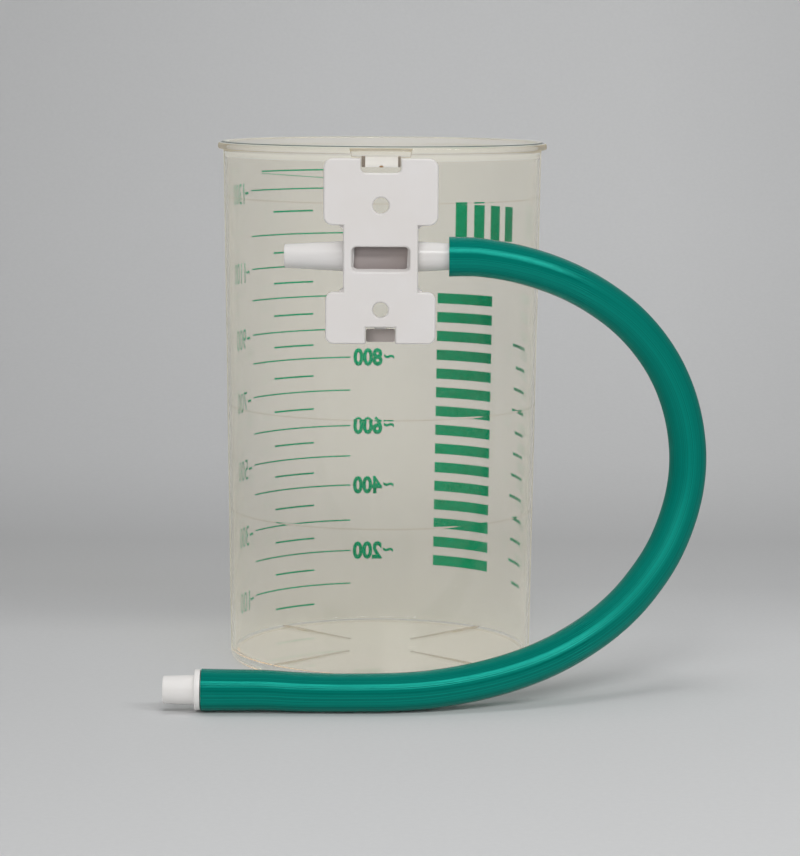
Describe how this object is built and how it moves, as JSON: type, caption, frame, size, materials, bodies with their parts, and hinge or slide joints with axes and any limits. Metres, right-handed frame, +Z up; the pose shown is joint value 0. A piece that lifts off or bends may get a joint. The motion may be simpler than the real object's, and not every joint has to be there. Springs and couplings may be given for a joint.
{
  "type": "suction canister",
  "caption": "Clear open suction jar with graduations, a clip-on mounting plate with a vacuum tee, and a flexible vacuum hose ending in a tapered connector.",
  "frame": {"origin": "centre of the jar's flat base, on the surface that it stands on", "axes": "+Z up along the jar's axis; the mounting plate faces -Y; +X is the side with the hose, to the right of the plate as seen from the front"},
  "size_m": [0.1818, 0.1578, 0.182],
  "materials": {
    "clear_plastic": "clear, faintly amber, polished",
    "white_plate_plastic": "white, satin",
    "white_tee_plastic": "white, semi-gloss",
    "grey_rubber": "dark grey, matt",
    "green_hose_plastic": "dark green, glossy, flexible",
    "white_connector_plastic": "white, satin"
  },
  "bodies": {
    "root": {"canister_jar": "clear_plastic", "mounting_plate": "white_plate_plastic", "vacuum_tee": "white_tee_plastic", "port_seal": "grey_rubber", "vacuum_hose": "green_hose_plastic", "hose_connector": "white_connector_plastic"}
  },
  "joints": []
}
